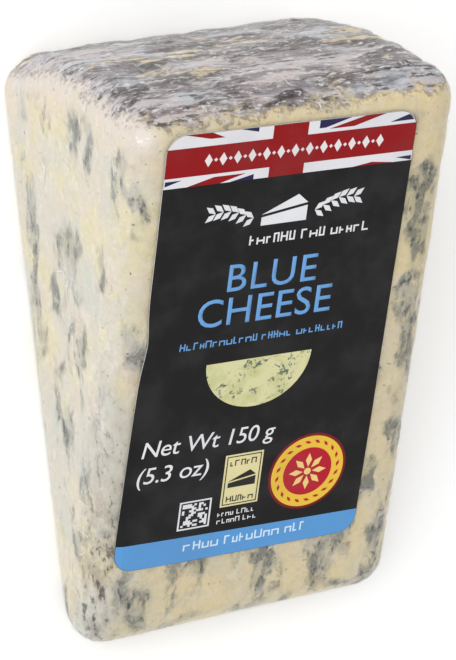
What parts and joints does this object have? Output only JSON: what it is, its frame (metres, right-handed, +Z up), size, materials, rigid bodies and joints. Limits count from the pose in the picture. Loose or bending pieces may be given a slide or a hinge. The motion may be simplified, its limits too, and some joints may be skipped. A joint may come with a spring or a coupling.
{
  "type": "cheese wedge",
  "caption": "portion of blue-veined cheese with its rind, cut as a wedge from a drum, in clear shrink film with a paper label on one cut face",
  "frame": {"origin": "centre of the footprint, on the surface that the wedge lies on", "axes": "+X across the slice, along the drum's axis; +Y from the tip to the rind; +Z up. The wedge lies on one cut face, and the label on the other cut face looks up"},
  "size_m": [0.054, 0.0924, 0.05],
  "materials": {
    "cheese_paste": "moist, veined paste with a dry grey-brown rind",
    "clear_film": "clear shrink film, glossy and finely wrinkled",
    "printed_label": "black printed paper, satin"
  },
  "bodies": {
    "root": {"cheese": "cheese_paste", "shrink_film": "clear_film", "front_label": "printed_label"}
  },
  "joints": []
}
